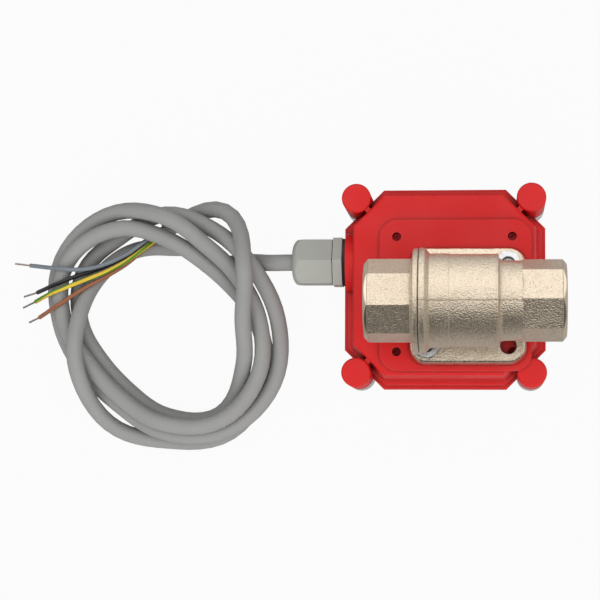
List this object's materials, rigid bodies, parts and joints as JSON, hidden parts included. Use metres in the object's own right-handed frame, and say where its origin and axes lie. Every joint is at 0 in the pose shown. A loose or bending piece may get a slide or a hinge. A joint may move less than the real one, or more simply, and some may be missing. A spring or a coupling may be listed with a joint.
{
  "type": "motorized ball valve",
  "caption": "Brass two-way ball valve on a square flange, turned by a geared electric actuator with a red base, a clear cover, a cable gland and a coiled four-core cable",
  "frame": {"origin": "Middle of the bounding box at its bottom, without the cord nodes; the cover's face lies on z = 0", "axes": "+X along the pipe from the end cap to the cast pipe end, +Y away from the valve's side of the plate, +Z from the cover up to the valve, along the stem"},
  "size_m": [0.2452, 0.1134, 0.0966],
  "materials": {
    "red_plastic": "moulded, half gloss",
    "clear_plastic": "clear moulded plastic",
    "black_rubber": "matt",
    "grey_plastic": "moulded, fine matt",
    "cable_sheath": "soft PVC, dull",
    "wire_grey": "PVC insulation",
    "wire_black": "PVC insulation",
    "wire_yellow": "PVC insulation, green stripe in the look",
    "wire_brown": "PVC insulation",
    "tinned_copper": "tinned strands",
    "plated_brass": "nickel plated, blasted casting",
    "bare_brass": "turned",
    "polished_chrome": "polished",
    "plated_steel": "nickel plated",
    "turned_steel": "turned",
    "screw_steel": "zinc plated",
    "black_steel": "blackened, dull",
    "motor_metal": "drawn can, zinc plated",
    "sheet_aluminium": "plain sheet",
    "white_plastic": "natural acetal",
    "black_plastic": "moulded",
    "green_plastic": "moulded",
    "green_board": "solder mask"
  },
  "bodies": {
    "housing": {"base_housing": "red_plastic", "cover": "clear_plastic", "cover_gasket": "black_rubber", "cover_screws": "screw_steel", "gland_body": "grey_plastic", "gland_nut": "grey_plastic", "gland_gasket": "black_rubber", "gland_seal": "black_rubber", "gland_locknut": "grey_plastic", "cable_entry": "cable_sheath", "inner_leads": "wire_grey", "cable_lead": "cable_sheath", "cable_coil": "cable_sheath", "wire_grey": "wire_grey", "wire_black": "wire_black", "wire_green_yellow": "wire_yellow", "wire_brown": "wire_brown", "wire_tips": "tinned_copper", "valve_body": "plated_brass", "end_cap": "plated_brass", "end_cap_seal": "black_rubber", "ball_seats": "white_plastic", "flange_bolts": "plated_steel", "flange_washers": "plated_steel", "flange_nuts": "plated_steel", "output_bush": "bare_brass", "idler_axle": "turned_steel", "motor_body": "motor_metal", "motor_screws": "screw_steel", "gear_plate": "sheet_aluminium", "gear_pillars": "sheet_aluminium", "gearbox_screws": "black_steel", "limit_switch_open": "black_plastic", "limit_switch_close": "black_plastic", "switch_screws": "screw_steel", "circuit_board": "green_board", "board_spacers": "bare_brass", "board_screws": "screw_steel", "terminal_block": "green_plastic", "terminal_screws": "screw_steel"},
    "output": {"ball": "polished_chrome", "stem": "bare_brass", "stem_seals": "black_rubber", "output_shaft": "turned_steel", "output_gear": "white_plastic", "cam_open": "white_plastic", "cam_close": "white_plastic", "position_indicator": "red_plastic"},
    "idler": {"idler_gear": "white_plastic"},
    "motor_rotor": {"motor_pinion": "bare_brass", "motor_shaft": "turned_steel"},
    "open_plunger": {"plunger_open": "red_plastic"},
    "close_plunger": {"plunger_close": "red_plastic"}
  },
  "joints": [
    {"name": "shaft_turn", "type": "hinge", "parent": "housing", "child": "output", "pos_m": [0.0177, -0.0095, 0.075], "axis": [0, 0, 1], "range_deg": [0, 90]},
    {"name": "idler_spin", "type": "hinge", "parent": "housing", "child": "idler", "pos_m": [-0.00677, -0.00519, 0.027], "axis": [0, 0, 1], "range_deg": [-380, 5]},
    {"name": "motor_spin", "type": "hinge", "parent": "housing", "child": "motor_rotor", "pos_m": [-0.00137, 0.01495, 0.02], "axis": [0, 0, 1], "range_deg": [-5, 1260]},
    {"name": "plunger_open_slide", "type": "slide", "parent": "housing", "child": "open_plunger", "axis": [1, 0, 0], "range_m": [-0.0009, 0]},
    {"name": "plunger_close_slide", "type": "slide", "parent": "housing", "child": "close_plunger", "axis": [1, 0, 0], "range_m": [0, 0.0009]}
  ],
  "couplings": [
    {"joint": "idler_spin", "follows": "shaft_turn", "ratio": -4.1667},
    {"joint": "motor_spin", "follows": "shaft_turn", "ratio": 13.889},
    {"joint": "plunger_open_slide", "follows": "shaft_turn", "m_per_rad": -0.000573},
    {"joint": "plunger_close_slide", "follows": "shaft_turn", "m_per_rad": 0.000573}
  ]
}
